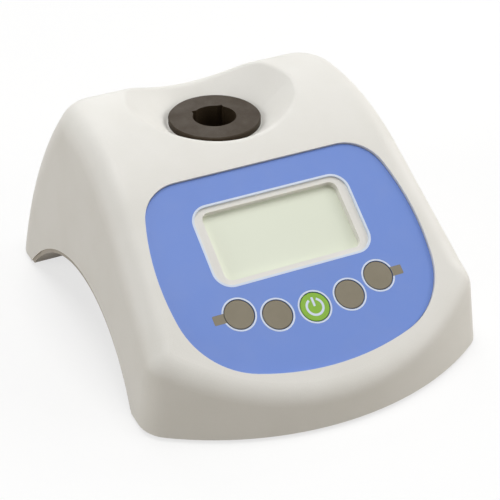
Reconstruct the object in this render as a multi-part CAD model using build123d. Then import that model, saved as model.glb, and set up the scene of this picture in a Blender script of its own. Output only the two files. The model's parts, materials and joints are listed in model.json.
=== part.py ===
from build123d import *
from math import asin, atan, cos, hypot, pi, radians, sin, sqrt, tan
import os

# Bench turbidity meter, all sizes in millimetres.
# The origin is at the middle of the footprint, on the table. X runs to the right,
# Y runs from the front to the rear and Z runs up.

# Overall form of the upper casing
casing_width = 136.6
casing_depth = 168.0
casing_height = 77.0
foot_stand = 1.5
wall = 2.6
draft_angle = 6.8
side_narrowing_angle = 1.15
front_bow_radius = 109.0
front_corner_radius = 13.0
rear_corner_radius = 16.0
roof_edge_radius = 10.0
roof_bend_radius = 78.0
rear_lean_angle = 6.5
rear_crown_setback = 35.6
skirt_depth = 8.0

# Tunnel that arches through both sides, between the front body and the rear foot
arch_radius = 71.1
arch_height = 25.9
arch_y = 8.5

# Sloping control panel; the power key marks its zero point
panel_tilt = 35.2
power_key_setback = 28.3
power_key_drop = 46.0
panel_reveal = 1.2
panel_pad = 2.6
panel_pad_margin = 3.0

# Printed overlay in the panel pocket
overlay_thickness = 0.8
overlay_half_width = 52.0
overlay_side_radius = 94.0
overlay_widest_v = 20.5
overlay_top_v = 58.5
overlay_bottom_v = -22.4
overlay_bottom_radius = 102.0
overlay_top_corner = 16.0
overlay_bottom_corner = 30.0
overlay_gap = 0.15

# Display opening in the overlay, and the smaller one in the casing
display_width = 62.2
display_height = 31.4
display_centre_v = 31.4
display_corner = 6.3
aperture_width = 54.8
aperture_height = 27.2
aperture_corner = 3.0

# Display module
lcd_border = 4.5
lcd_glass_thickness = 2.2
lcd_backlight_thickness = 1.4
lcd_frame_wall = 2.6
lcd_frame_gap = 0.1

# Keys
key_cap_radius = 5.5
key_gap = 0.25
key_cap_thickness = 1.2
key_travel = 0.5
key_bottom_gap = 0.2
key_stem_radius = 1.9
key_stem_gap = 0.4
key_edge = 0.2
inner_key_x = 14.5
inner_key_v = 0.96
outer_key_x = 28.0
outer_key_v = 4.85

# Key switches under the panel, on the panel board
switch_size = 6.2
switch_height = 3.1
switch_well_depth = 2.3
switch_pin_length = 1.2
switch_pin_radius = 0.5
board_thickness = 1.6
panel_board_width = 84.0
panel_board_low_v = -12.0
panel_board_high_v = 55.0
panel_board_corner = 2.0
panel_screw_inset = 4.0
panel_boss_radius = 3.0

# Dish in the roof, and the flanged adapter that stands in it
adapter_inset = 56.7
dish_depth = 11.4
dish_floor_radius = 18.2
dish_slope_angle = 37.0
dish_rim_radius = 3.0
flange_radius = 17.7
flange_thickness = 2.4
flange_edge = 0.4
adapter_tube_radius = 10.6
adapter_floor = 1.5
tube_hole_radius = 8.4
cuvette_width = 12.75
cuvette_offset = 0.75
key_rib_width = 2.4
key_rib_height = 1.0
adapter_gap = 0.3

# Light path through the adapter
light_depth = 20.0
light_window_radius = 2.0

# Seal ring between the flange and the dish floor
seal_inner_radius = 12.9
seal_outer_radius = 15.3
seal_thickness = 0.8

# Optical block that carries the adapter, the light source and the detector
block_width = 40.0
block_length = 38.0
block_clearance = 0.7
block_floor = 1.5
block_edge = 1.5
block_screw_x = 15.6
block_screw_y = 14.6
block_boss_radius = 3.4
block_screw_depth = 11.0
block_counterbore_radius = 3.1

# Light source, detector, filter and their small boards
lamp_radius = 2.5
lamp_gap = 0.1
lamp_length = 6.0
lamp_rim_radius = 2.9
lamp_rim_thickness = 1.0
lamp_nose_round = 2.2
filter_thickness = 1.8
lamp_board_width = 17.0
lamp_board_height = 13.0
lamp_board_inset = 2.0
lamp_screw_spacing = 11.6
lamp_screw_radius = 0.95
lamp_screw_head_radius = 2.0
lamp_screw_head_height = 1.6
lamp_screw_grip = 2.0

# Bottom cover
cover_thickness = 2.2
cover_gap = 0.25
cover_lip = 1.6
cover_lip_inset = 0.5
cover_rib_insets = (16.3, 38.3)
cover_rib_width = 1.2
cover_rib_height = 3.0
cover_rib_span = 70.0

# Rubber feet
foot_radius = 6.0
foot_recess = 0.8
foot_edge = 0.5
front_foot_inset_x = 20.3
front_foot_inset_y = 21.0
rear_foot_inset_x = 26.3
rear_foot_inset_y = 11.7

# Screw posts that join the casing and the cover
post_radius = 3.8
front_post_inset_x = 11.3
front_post_inset_y = 32.5
rear_post_inset_x = 12.3
rear_post_inset_y = 12.5

# Screws
screw_radius = 1.25
screw_hole_gap = 0.05
screw_head_radius = 2.6
screw_head_height = 1.3
screw_head_edge = 0.4
screw_head_gap = 0.4
cover_screw_length = 12.0
board_screw_length = 6.0
socket_radius = 1.0
socket_depth = 0.7

# Main board in the front of the base
main_board_width = 80.0
main_board_length = 25.5
main_board_setback = 13.0
main_board_height = 8.0
standoff_radius = 3.0
standoff_inset = 4.0

# Parts on the main board
processor_size = 10.0
processor_height = 1.6
amplifier_length = 5.0
amplifier_width = 4.0
amplifier_height = 1.5
chip_row = -4.5
amplifier_x = 13.0
capacitor_radius = 3.1
capacitor_height = 6.6
capacitor_edge = 0.5
capacitor_inset = 13.0
capacitor_rows = (-8.0, -0.4)
header_width = 8.0
header_depth = 5.0
header_height = 5.5
header_edge = 0.4
header_inset = 1.0
ribbon_header_width = 16.0
header_margin = 9.0
header_spacing = 3.0

# Power inlet in the rear wall
inlet_inset = 32.3
inlet_height = 15.0
inlet_flange_radius = 6.6
inlet_flange_thickness = 1.2
inlet_body_radius = 5.3
inlet_body_length = 13.0
inlet_hole_radius = 3.1
inlet_hole_depth = 9.5
inlet_pin_radius = 1.0
inlet_gap = 0.2
nut_width = 14.0
nut_thickness = 2.4

# Leads inside the housing
power_lead_radius = 1.1
lamp_lead_radius = 0.9
ribbon_width = 14.0
ribbon_thickness = 1.0

# Places that follow from the sizes above
front_y = -casing_depth / 2
rear_y = casing_depth / 2
side_x = casing_width / 2
base_z = foot_stand
crown_z = base_z + casing_height
slope = radians(panel_tilt)
draft = radians(draft_angle)
key_y = front_y + power_key_setback
key_z = crown_z - power_key_drop
arch_z = base_z + arch_height - arch_radius
adapter_y = rear_y - adapter_inset
dish_z = crown_z - dish_depth
adapter_top_z = dish_z + flange_thickness
light_z = adapter_top_z - light_depth
cover_crown_z = base_z + arch_height - cover_lip + cover_thickness
block_bottom_z = cover_crown_z + block_clearance
block_bore_z = block_bottom_z + block_floor
adapter_foot_z = block_bore_z + adapter_gap
block_top_z = dish_z - wall
block_seat_z = block_top_z - block_screw_depth
inlet_x = inlet_inset - side_x
board_front_y = front_y + main_board_setback
board_rear_y = board_front_y + main_board_length

# The rear wall's arc leans forward from its foot and has come forward by the setback at the crown
rear_foot_lean = radians(rear_lean_angle)
rear_crown_lean = 2 * atan(rear_crown_setback / casing_height) - rear_foot_lean
rear_bow_radius = casing_height / (sin(rear_crown_lean) - sin(rear_foot_lean))
rear_axis_y = rear_y - rear_bow_radius * cos(rear_foot_lean)
rear_axis_z = base_z - rear_bow_radius * sin(rear_foot_lean)
pocket_w = -overlay_thickness
pad_w = pocket_w - panel_pad
lcd_back_w = pad_w - lcd_glass_thickness - lcd_backlight_thickness
board_w = lcd_back_w
key_well_depth = key_cap_thickness - overlay_thickness + key_travel + key_bottom_gap
key_stem_low_w = board_w + switch_height - switch_well_depth + key_travel + key_bottom_gap
screw_hole_radius = screw_radius + screw_hole_gap
screw_pass_radius = screw_radius + screw_head_gap
top = (Align.CENTER, Align.CENTER, Align.MAX)
bottom = (Align.CENTER, Align.CENTER, Align.MIN)
panel = Plane(origin=(0, key_y, key_z), x_dir=(1, 0, 0), z_dir=(0, -sin(slope), cos(slope)))
key_places = {
    "key_far_left": (-outer_key_x, outer_key_v),
    "key_left": (-inner_key_x, inner_key_v),
    "key_power": (0.0, 0.0),
    "key_right": (inner_key_x, inner_key_v),
    "key_far_right": (outer_key_x, outer_key_v),
}


def rod(radius, height):
    """Cylinder that stands on the plane z = 0."""
    return Cylinder(radius, height, align=bottom)


def sunk(radius, depth):
    """Cylinder that hangs under the plane z = 0."""
    return Cylinder(radius, depth, align=top)


def on_panel(x, v, w=0.0):
    """Place on the panel: x to the right, v up the slope, w out of the overlay's face."""
    return panel.location * Pos(x, v, w)


def corners_of(half_x, y_front, y_rear):
    """Four places, mirrored about the middle."""
    return [(side * half_x, y) for side in (-1, 1) for y in (y_front, y_rear)]


def rear_point(z):
    """Point (y, z) of the rear wall's face at one level."""
    return (rear_axis_y + sqrt(rear_bow_radius ** 2 - (z - rear_axis_z) ** 2), z)


def plan_face(inset):
    """Plan of the casing at the foot of its skirt: bowed front, sides that narrow to the rear."""
    narrowing = tan(radians(side_narrowing_angle))
    far_y = rear_y + rear_corner_radius
    half = side_x + key_y * narrowing
    far_half = half - far_y * narrowing
    bow_y = front_y + front_bow_radius
    square = 1 + narrowing ** 2
    middle = half * narrowing + bow_y
    rest = half ** 2 + bow_y ** 2 - front_bow_radius ** 2
    corner_y = (middle - sqrt(middle ** 2 - square * rest)) / square
    corner_x = half - corner_y * narrowing
    outline = Wire([
        ThreePointArc((-corner_x, corner_y), (0, front_y), (corner_x, corner_y)),
        Line((corner_x, corner_y), (far_half, far_y)),
        Line((far_half, far_y), (-far_half, far_y)),
        Line((-far_half, far_y), (-corner_x, corner_y)),
    ])
    face = Face(outline)
    face = face.fillet_2d(front_corner_radius, face.vertices().sort_by(Axis.Y)[:2])
    return offset(face, amount=skirt_depth * tan(draft) - inset, kind=Kind.INTERSECTION)


def side_face(inset):
    """Side view of the casing: sloping panel, bend, level crown and bowed rear wall."""
    start_y = key_y - panel_reveal * sin(slope)
    start_z = key_z + panel_reveal * cos(slope)
    ridge_y = start_y + (crown_z - start_z) / tan(slope)
    bend = roof_bend_radius * tan(slope / 2)
    bend_low = (ridge_y - bend * cos(slope), crown_z - bend * sin(slope))
    bend_high = (ridge_y + bend, crown_z)
    nose_y = front_y - casing_height / 2
    nose = (nose_y, start_z + (nose_y - start_y) * tan(slope))
    floor_z = min(base_z - skirt_depth, nose[1]) - wall
    outline = Wire([
        Line(nose, bend_low),
        TangentArc(bend_low, bend_high, tangent=(cos(slope), sin(slope))),
        Line(bend_high, rear_point(crown_z)),
        ThreePointArc(rear_point(crown_z), rear_point((crown_z + floor_z) / 2), rear_point(floor_z)),
        Line(rear_point(floor_z), (nose_y, floor_z)),
        Line((nose_y, floor_z), nose),
    ])
    face = Face(outline)
    if inset:
        face = offset(face, amount=-inset, kind=Kind.INTERSECTION)
    return face


def casing_form(inset=0.0):
    """Outer form of the casing, or the same form further in by a wall."""
    plan = Pos(0, 0, base_z - skirt_depth) * plan_face(inset)
    drafted = extrude(plan, amount=casing_height + skirt_depth + roof_edge_radius, taper=draft_angle)
    slab = extrude(Plane.YZ * side_face(inset), amount=casing_width, both=True)
    form = (drafted & slab).solid()
    upright = [edge for edge in form.edges()
               if edge.center().Y > adapter_y and edge.bounding_box().size.Z > casing_height / 2]
    form = form.fillet(rear_corner_radius - inset, upright)
    roof = [face for face in form.faces() if face.normal_at(face.center()).Z > cos(slope) - 0.1]
    walls = [face for face in form.faces() if abs(face.normal_at(face.center()).Z) < cos(slope) - 0.1]
    wall_edges = [edge.center() for face in walls for edge in face.edges()]
    rim = [edge for face in roof for edge in face.edges()
           if min((edge.center() - place).length for place in wall_edges) < 0.01]
    return form.fillet(roof_edge_radius - inset, rim)


def overlay_face(margin=0.0):
    """Outline of the overlay, or one wider by a margin: bowed sides and lower edge, straight top."""
    side_radius = overlay_side_radius + margin
    low_radius = overlay_bottom_radius + margin
    high_v = overlay_top_v + margin
    side_x = overlay_half_width - overlay_side_radius
    top_x = side_x + sqrt(side_radius ** 2 - (high_v - overlay_widest_v) ** 2)
    # Where the side arc meets the lower arc
    gap_x = -side_x
    gap_v = overlay_bottom_v + overlay_bottom_radius - overlay_widest_v
    span = hypot(gap_x, gap_v)
    along = (side_radius ** 2 - low_radius ** 2 + span ** 2) / (2 * span)
    aside = sqrt(side_radius ** 2 - along ** 2)
    meet_x = side_x + (along * gap_x + aside * gap_v) / span
    meet_v = overlay_widest_v + (along * gap_v - aside * gap_x) / span
    wide_x = overlay_half_width + margin
    outline = Wire([
        Line((-top_x, high_v), (top_x, high_v)),
        ThreePointArc((top_x, high_v), (wide_x, overlay_widest_v), (meet_x, meet_v)),
        ThreePointArc((meet_x, meet_v), (0, overlay_bottom_v - margin), (-meet_x, meet_v)),
        ThreePointArc((-meet_x, meet_v), (-wide_x, overlay_widest_v), (-top_x, high_v)),
    ])
    face = Face(outline)
    face = face.fillet_2d(overlay_bottom_corner + margin, face.vertices().sort_by(Axis.Y)[:2])
    return face.fillet_2d(overlay_top_corner + margin, face.vertices().sort_by(Axis.Y)[-2:])


def panel_plate(face, high, low):
    """Plate between two levels of the panel, with the outline of a face drawn on it."""
    return extrude(on_panel(0, 0, low) * face, amount=high - low, dir=panel.z_dir)


def rounded_box(width, height, radius, centre_v):
    """Rounded rectangle on the panel, centred left to right."""
    return Pos(0, centre_v) * RectangleRounded(width, height, radius)


def low_edge(shape):
    """Lowest round edge of a cylinder."""
    return shape.edges().filter_by(GeomType.CIRCLE).sort_by(Axis.Z)[0]


def high_edge(shape):
    """Highest round edge of a cylinder."""
    return shape.edges().filter_by(GeomType.CIRCLE).sort_by(Axis.Z)[-1]


def screw(length):
    """Pan head screw with its head under the plane z = 0 and its shank upwards."""
    shank = rod(screw_radius, length)
    head = sunk(screw_head_radius, screw_head_height)
    head = chamfer(low_edge(head), screw_head_edge)
    drive = Pos(0, 0, -screw_head_height) * rod(socket_radius, socket_depth)
    return (shank + head - drive).solid()


def post_places():
    front = (side_x - front_post_inset_x, front_y + front_post_inset_y)
    rear = (side_x - rear_post_inset_x, rear_y - rear_post_inset_y)
    return [(side * x, y) for side in (-1, 1) for x, y in (front, rear)]


def foot_places():
    front = (side_x - front_foot_inset_x, front_y + front_foot_inset_y)
    rear = (side_x - rear_foot_inset_x, rear_y - rear_foot_inset_y)
    return [(side * x, y) for side in (-1, 1) for x, y in (front, rear)]


def lamp_screw_places():
    """Sides of the block and places along it, for the small screws of the lamp boards."""
    return [(side, adapter_y + along * lamp_screw_spacing / 2) for side in (-1, 1) for along in (-1, 1)]


def standoff_places():
    return corners_of(main_board_width / 2 - standoff_inset,
                      board_front_y + standoff_inset, board_rear_y - standoff_inset)


def panel_screw_places():
    return corners_of(panel_board_width / 2 - panel_screw_inset,
                      panel_board_low_v + panel_screw_inset, panel_board_high_v - panel_screw_inset)


def block_screw_places():
    return [(x, adapter_y + y) for x, y in corners_of(block_screw_x, -block_screw_y, block_screw_y)]


def dish_cone(depth):
    """Cone of the dish, or the same cone lower by a wall."""
    angle = radians(dish_slope_angle)
    low_radius = dish_floor_radius + depth * tan(angle / 2)
    low_z = dish_z - depth
    height = crown_z + roof_edge_radius - low_z
    cone = Cone(low_radius, low_radius + height / tan(angle), height, align=bottom)
    return Pos(0, adapter_y, low_z) * cone


def inlet_place():
    """Centre of the inlet on the rear wall's outer face, z axis out of the wall."""
    z = base_z + inlet_height
    y = rear_point(z)[0]
    lean = asin((z - rear_axis_z) / rear_bow_radius)
    return Plane(origin=(inlet_x, y, z), x_dir=(-1, 0, 0), z_dir=(0, cos(lean), sin(lean))).location


def dished_form():
    """Outer form of the casing with the dish sunk in its roof and the dish's rim rounded."""
    form = (casing_form() - dish_cone(0)).solid()
    cones = [face for face in form.faces().filter_by(GeomType.CONE)
             if abs(face.center().Y - adapter_y) < wall]
    rim = [edge for face in cones for edge in face.edges() if edge.bounding_box().min.Z > dish_z + wall / 2]
    return form.fillet(dish_rim_radius, rim)


def make_casing_shell():
    """Shell with its tunnel, the pad behind the panel and the posts and bosses inside."""
    shell = dished_form() - (casing_form(wall) - dish_cone(wall))
    shell -= Pos(0, 0, base_z) * Box(casing_width * 2, casing_depth * 2, skirt_depth * 2 + wall, align=top)
    shell -= Pos(0, arch_y, arch_z) * Rot(0, 90, 0) * Cylinder(arch_radius, casing_width * 2)
    inner = casing_form(wall / 2)
    shell += panel_plate(overlay_face(panel_pad_margin), pocket_w, pad_w) & inner
    for x, y in post_places():
        shell += Pos(x, y, base_z + cover_thickness) * rod(post_radius, casing_height) & inner
    for x, y in block_screw_places():
        shell += Pos(x, y, block_top_z) * rod(block_boss_radius, wall * 3) - dish_cone(wall / 2)
    for x, v in panel_screw_places():
        shell += on_panel(x, v, pad_w + wall / 2) * sunk(panel_boss_radius, pad_w + wall / 2 - board_w)
    return shell


def make_upper_casing():
    casing = make_casing_shell()
    casing -= panel_plate(overlay_face(overlay_gap), panel_reveal * 4, pocket_w)
    casing -= panel_plate(rounded_box(aperture_width, aperture_height, aperture_corner, display_centre_v),
                          panel_reveal, pad_w - wall)
    for x, v in key_places.values():
        casing -= on_panel(x, v, pocket_w) * sunk(key_cap_radius + key_gap, key_well_depth)
        casing -= on_panel(x, v, pocket_w) * sunk(key_stem_radius + key_stem_gap, panel_pad * 2)
    for x, y in post_places():
        casing -= Pos(x, y, base_z) * rod(screw_hole_radius, cover_screw_length + wall)
    for x, y in block_screw_places():
        casing -= Pos(x, y, block_top_z) * rod(screw_hole_radius, block_screw_grip())
    for x, v in panel_screw_places():
        casing -= on_panel(x, v, board_w) * rod(screw_hole_radius, board_screw_length - board_thickness)
    casing -= adapter_well(block_top_z - wall, dish_z + wall, adapter_gap * 2)
    casing -= Pos(0, adapter_y, dish_z - seal_thickness) * (
        rod(seal_outer_radius, wall * 2) - rod(seal_inner_radius, wall * 2))
    casing -= inlet_place() * Cylinder(inlet_body_radius + inlet_gap, wall * 3)
    return casing.solid()


def adapter_well(low_z, high_z, gap):
    """Space for the adapter's tube and its rib, wider by a gap."""
    height = high_z - low_z
    well = Pos(0, adapter_y, low_z) * rod(adapter_tube_radius + gap, height)
    groove = Pos(0, adapter_y + adapter_tube_radius, low_z) * Box(
        key_rib_width + 2 * adapter_gap, 2 * (key_rib_height + gap), height, align=bottom)
    return well + groove


def block_screw_grip():
    """Depth of the screw holes in the bosses under the dish."""
    angle = radians(dish_slope_angle)
    reach = hypot(block_screw_x, block_screw_y)
    return wall / 2 + (reach - dish_floor_radius) * tan(angle)


def cover_side_face(high_offset):
    """Side view of the cover: level plate, arch and level plate, with its upper face raised."""
    low = arch_radius - cover_lip
    far = casing_depth
    plate = Pos(0, base_z + cover_thickness / 2) * Rectangle(far * 2, cover_thickness)
    ring = Pos(arch_y, arch_z) * Circle(low + high_offset)
    above = Pos(0, base_z + casing_height / 2) * Rectangle(far * 2, casing_height)
    return (plate + (ring & above)) - Pos(arch_y, arch_z) * Circle(low)


def across(face, width):
    """Extrude a side view to both sides of the middle."""
    return extrude(Plane.YZ * face, amount=width / 2, both=True)


def make_bottom_cover():
    inside = casing_form(wall + cover_gap)
    plate = across(cover_side_face(cover_thickness), casing_width * 2) & inside
    lip = across(cover_side_face(cover_lip), casing_width * 2) & casing_form(cover_lip_inset)
    lip = lip & (Pos(0, arch_y, arch_z) * Rot(0, 90, 0) * Cylinder(arch_radius, casing_width * 2))
    lip = lip & (Pos(0, 0, base_z) * Box(casing_width * 2, casing_depth * 2, casing_height, align=bottom))
    cover = plate + lip
    ribs = across(cover_side_face(cover_thickness + cover_rib_height), cover_rib_width)
    reach = Box(cover_rib_width, cover_rib_span, casing_height, align=bottom)
    ribs = ribs & (Pos(0, arch_y, base_z) * reach)
    for inset in cover_rib_insets:
        for side in (-1, 1):
            cover += Pos(side * (side_x - inset), 0, 0) * ribs
    board_z = base_z + main_board_height
    for x, y in standoff_places():
        cover += Pos(x, y, base_z) * rod(standoff_radius, main_board_height)
        cover -= Pos(x, y, board_z) * sunk(screw_hole_radius, board_screw_length - board_thickness)
    for x, y in post_places():
        cover -= Pos(x, y, base_z) * rod(screw_head_radius + screw_head_gap, screw_head_height)
        cover -= Pos(x, y, base_z) * rod(screw_pass_radius, wall * 2)
    for x, y in foot_places():
        cover -= Pos(x, y, base_z) * rod(foot_radius, foot_recess)
    return cover.solid()


def make_rubber_feet():
    foot = rod(foot_radius, foot_stand + foot_recess)
    foot = chamfer(low_edge(foot), foot_edge)
    return [Pos(x, y, 0) * foot for x, y in foot_places()]


def make_cover_screws():
    return [Pos(x, y, base_z + screw_head_height) * screw(cover_screw_length) for x, y in post_places()]


def make_keypad_overlay():
    sheet = panel_plate(overlay_face(), 0, pocket_w)
    sheet -= panel_plate(rounded_box(display_width, display_height, display_corner, display_centre_v),
                         overlay_thickness, pocket_w - overlay_thickness)
    for x, v in key_places.values():
        sheet -= on_panel(x, v) * Cylinder(key_cap_radius + key_gap, overlay_thickness * 3)
    return sheet.solid()


def make_key(x, v):
    cap = sunk(key_cap_radius, key_cap_thickness)
    cap = chamfer(high_edge(cap), key_edge)
    stem = sunk(key_stem_radius, -key_stem_low_w)
    return (on_panel(x, v) * (cap + stem)).solid()


def lcd_plate(margin, high, low):
    """Plate of the display module, as large as the glass and a margin."""
    width = aperture_width + 2 * (lcd_border + margin)
    height = aperture_height + 2 * (lcd_border + margin)
    return panel_plate(Pos(0, display_centre_v) * Rectangle(width, height), high, low)


def make_lcd_glass():
    return lcd_plate(0, pad_w, pad_w - lcd_glass_thickness).solid()


def make_lcd_backlight():
    return lcd_plate(0, pad_w - lcd_glass_thickness, lcd_back_w).solid()


def make_lcd_frame():
    ring = lcd_plate(lcd_frame_wall, pad_w, lcd_back_w)
    ring -= lcd_plate(lcd_frame_gap, pad_w + lcd_frame_wall, lcd_back_w - lcd_frame_wall)
    return ring.solid()


def panel_board_face():
    width = panel_board_width
    height = panel_board_high_v - panel_board_low_v
    return rounded_box(width, height, panel_board_corner, (panel_board_high_v + panel_board_low_v) / 2)


def make_panel_board():
    board = panel_plate(panel_board_face(), board_w, board_w - board_thickness)
    for x, v in panel_screw_places():
        board -= on_panel(x, v, board_w) * Cylinder(screw_pass_radius, board_thickness * 3)
    for x, v in key_places.values():
        for side in (-1, 1):
            board -= on_panel(x + side * switch_size / 3, v, board_w) * Cylinder(
                switch_pin_radius, board_thickness * 3)
    return board.solid()


def make_key_switches():
    body = Pos(0, 0, board_w) * Box(switch_size, switch_size, switch_height, align=bottom)
    body = fillet(body.edges().filter_by(Axis.Z), switch_pin_radius)
    body -= Pos(0, 0, board_w + switch_height) * sunk(key_stem_radius + adapter_gap, switch_well_depth)
    pin = sunk(switch_pin_radius, board_thickness + switch_pin_length)
    for side in (-1, 1):
        body += Pos(side * switch_size / 3, 0, board_w) * pin
    return [panel.location * Pos(x, v, 0) * body for x, v in key_places.values()]


def make_panel_screws():
    return [on_panel(x, v, board_w - board_thickness) * screw(board_screw_length)
            for x, v in panel_screw_places()]


def adapter_opening(low_z, high_z):
    """Round hole for a tube, crossed by a square slot for a cuvette."""
    height = high_z - low_z
    hole = rod(tube_hole_radius, height)
    slot = Pos(0, cuvette_offset, 0) * Box(cuvette_width, cuvette_width, height, align=bottom)
    return Pos(0, adapter_y, low_z) * (hole + slot)


def light_bore(radius, low_x, high_x):
    """Bore along the light path."""
    return Pos(low_x, adapter_y, light_z) * Rot(0, 90, 0) * rod(radius, high_x - low_x)


def make_sample_adapter():
    flange = Pos(0, adapter_y, dish_z) * rod(flange_radius, flange_thickness)
    flange = chamfer(high_edge(flange), flange_edge)
    tube = Pos(0, adapter_y, adapter_foot_z) * rod(adapter_tube_radius, dish_z - adapter_foot_z)
    tube = chamfer(low_edge(tube), adapter_floor / 2)
    rib = Pos(0, adapter_y + adapter_tube_radius, dish_z) * Box(
        key_rib_width, 2 * key_rib_height, dish_z - adapter_foot_z - adapter_floor, align=top)
    adapter = flange + tube + rib
    adapter -= adapter_opening(adapter_foot_z + adapter_floor, adapter_top_z + flange_thickness)
    adapter -= light_bore(light_window_radius, -flange_radius, flange_radius)
    return adapter.solid()


def make_seal_ring():
    ring = rod(seal_outer_radius - adapter_gap / 2, seal_thickness)
    ring -= rod(seal_inner_radius + adapter_gap / 2, seal_thickness)
    return (Pos(0, adapter_y, dish_z - seal_thickness) * ring).solid()


def make_optical_block():
    block = Pos(0, adapter_y, block_bottom_z) * Box(
        block_width, block_length, block_top_z - block_bottom_z, align=bottom)
    block = chamfer(block.edges().filter_by(Axis.Z), block_edge)
    block -= adapter_well(block_bore_z, block_top_z + wall, adapter_gap)
    block -= light_bore(light_window_radius, -block_width, block_width)
    for side in (-1, 1):
        face = side * block_width / 2
        seat = face - side * (lamp_length + filter_thickness)
        block -= light_bore(lamp_radius + lamp_gap, min(face, seat), max(face, seat))
    for side, y in lamp_screw_places():
        pad = Pos(side * block_width / 2, y, light_z) * Rot(0, side * 90, 0)
        block += pad * rod(lamp_screw_head_radius, lamp_rim_thickness)
        block -= pad * Cylinder(lamp_screw_radius + screw_hole_gap, 2 * lamp_screw_grip)
    for x, y in block_screw_places():
        block -= Pos(x, y, block_bottom_z) * rod(block_counterbore_radius, block_seat_z - block_bottom_z)
        block -= Pos(x, y, block_bottom_z) * rod(screw_pass_radius, casing_height)
    return block.solid()


def make_block_screws():
    length = block_top_z + block_screw_grip() - block_seat_z - screw_head_gap
    return [Pos(x, y, block_seat_z) * screw(length) for x, y in block_screw_places()]


def lamp_body(domed):
    """Round capsule along Z: rim at z = 0, nose upwards."""
    body = rod(lamp_radius, lamp_length)
    if domed:
        body = fillet(high_edge(body), lamp_nose_round)
    return body + sunk(lamp_rim_radius, lamp_rim_thickness)


def make_light_source():
    place = Pos(-block_width / 2, adapter_y, light_z) * Rot(0, 90, 0)
    return (place * lamp_body(True)).solid()


def make_light_detector():
    place = Pos(block_width / 2, adapter_y, light_z) * Rot(0, -90, 0)
    return (place * lamp_body(False)).solid()


def make_light_filter():
    far = block_width / 2 - lamp_length
    return light_bore(lamp_radius, far - filter_thickness, far).solid()


def make_lamp_board(side):
    """Small board on the side of the optical block."""
    near = side * (block_width / 2 + lamp_rim_thickness)
    board = Pos(near + side * board_thickness / 2, adapter_y, light_z) * Box(
        board_thickness, lamp_board_width, lamp_board_height)
    for screw_side, y in lamp_screw_places():
        if screw_side == side:
            board -= Pos(near, y, light_z) * Rot(0, 90, 0) * Cylinder(
                lamp_screw_radius + screw_hole_gap, board_thickness * 4)
    return board.solid()


def make_lamp_screws():
    """Small screws that hold the two lamp boards to the block."""
    length = board_thickness + lamp_rim_thickness + lamp_screw_grip - screw_head_gap
    shank = rod(lamp_screw_radius, length)
    head = sunk(lamp_screw_head_radius, lamp_screw_head_height)
    small_screw = shank + chamfer(low_edge(head), screw_head_edge)
    reach = block_width / 2 + lamp_rim_thickness + board_thickness
    return [Pos(side * reach, y, light_z) * Rot(0, -side * 90, 0) * small_screw
            for side, y in lamp_screw_places()]


def board_top():
    return base_z + main_board_height + board_thickness


def board_middle():
    return (board_front_y + board_rear_y) / 2


def make_main_board():
    board = Pos(0, board_middle(), base_z + main_board_height) * Box(
        main_board_width, main_board_length, board_thickness, align=bottom)
    board = fillet(board.edges().filter_by(Axis.Z), panel_board_corner)
    for x, y in standoff_places():
        board -= Pos(x, y, board_top()) * Cylinder(screw_pass_radius, board_thickness * 3)
    return board.solid()


def make_board_screws():
    turned = Rot(180, 0, 0) * screw(board_screw_length)
    return [Pos(x, y, board_top()) * turned for x, y in standoff_places()]


def on_board(x, y):
    """Place on the main board's upper face, measured from its middle."""
    return Pos(x, board_middle() + y, board_top())


def make_board_chips():
    """Processor in the middle of the board and an amplifier on each side of it."""
    processor = on_board(0, chip_row) * Box(processor_size, processor_size, processor_height, align=bottom)
    processor = chamfer(processor.edges().filter_by(Axis.Z), processor_height / 4)
    amplifier = Box(amplifier_length, amplifier_width, amplifier_height, align=bottom)
    return [processor] + [on_board(x, chip_row) * amplifier for x in (-amplifier_x, amplifier_x)]


def make_board_capacitors():
    can = rod(capacitor_radius, capacitor_height)
    can = chamfer(high_edge(can), capacitor_edge)
    x = main_board_width / 2 - capacitor_inset
    front_row, rear_row = capacitor_rows
    return [on_board(*place) * can for place in ((-x, front_row), (-x, rear_row), (x, front_row))]


def header_places():
    """Place and width of each plug header, in a row along the rear edge of the main board."""
    places = {}
    left = header_margin - main_board_width / 2
    y = main_board_length / 2 - header_inset - header_depth / 2
    for name, width in (("power", header_width), ("source", header_width),
                        ("ribbon", ribbon_header_width), ("detector", header_width)):
        places[name] = (left + width / 2, y, width)
        left += width + header_spacing
    return places


def make_board_headers():
    headers = []
    for x, y, width in header_places().values():
        body = on_board(x, y) * Box(width, header_depth, header_height, align=bottom)
        headers.append(chamfer(body.edges().group_by(Axis.Z)[-1], header_edge))
    return headers


def make_power_inlet():
    flange = Pos(0, 0, inlet_gap) * rod(inlet_flange_radius, inlet_flange_thickness)
    flange = chamfer(high_edge(flange), inlet_flange_thickness / 3)
    body = Pos(0, 0, inlet_gap) * sunk(inlet_body_radius, inlet_body_length + inlet_gap)
    socket = flange + body
    mouth = inlet_gap + inlet_flange_thickness
    socket -= Pos(0, 0, mouth) * sunk(inlet_hole_radius, inlet_hole_depth)
    pin = rod(inlet_pin_radius, inlet_hole_depth - inlet_flange_thickness)
    socket += Pos(0, 0, mouth - inlet_hole_depth) * pin
    return (inlet_place() * socket).solid()


def make_inlet_nut():
    across_corners = nut_width / sqrt(3)
    nut = extrude(RegularPolygon(across_corners, 6), amount=-nut_thickness)
    nut -= Cylinder(inlet_body_radius + lamp_gap, nut_thickness * 3)
    return (inlet_place() * Pos(0, 0, -wall - inlet_gap) * nut).solid()


def bend_radii(points):
    """As large an arc at each corner of a route as its two runs allow."""
    radii = []
    for before, here, after in zip(points, points[1:], points[2:]):
        first = Vector(*here) - Vector(*before)
        second = Vector(*after) - Vector(*here)
        turn = radians(first.get_angle(second))
        radii.append(0.45 * min(first.length, second.length) / tan(turn / 2))
    return radii


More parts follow.
